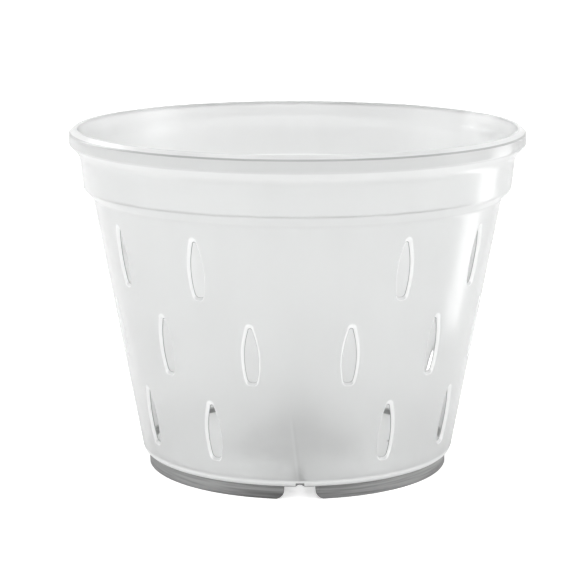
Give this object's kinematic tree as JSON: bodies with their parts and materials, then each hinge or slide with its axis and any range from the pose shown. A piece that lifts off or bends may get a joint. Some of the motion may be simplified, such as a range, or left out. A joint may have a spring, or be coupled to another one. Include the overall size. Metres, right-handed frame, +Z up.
{
  "type": "orchid pot",
  "caption": "Round tapered orchid pot in frosted translucent plastic, with leaf-shaped air slots, a thick rim, a stacking band, a notched foot ring and an air cone.",
  "frame": {"origin": "centre of the foot ring, on the ground", "axes": "+Z up along the pot's axis; -Y is the front, over one foot notch; +X is to its right"},
  "size_m": [0.15, 0.15, 0.113],
  "materials": {
    "frosted_plastic": "translucent frosted polypropylene with a satin gloss"
  },
  "bodies": {
    "root": {"slotted_pot": "frosted_plastic"}
  },
  "joints": []
}
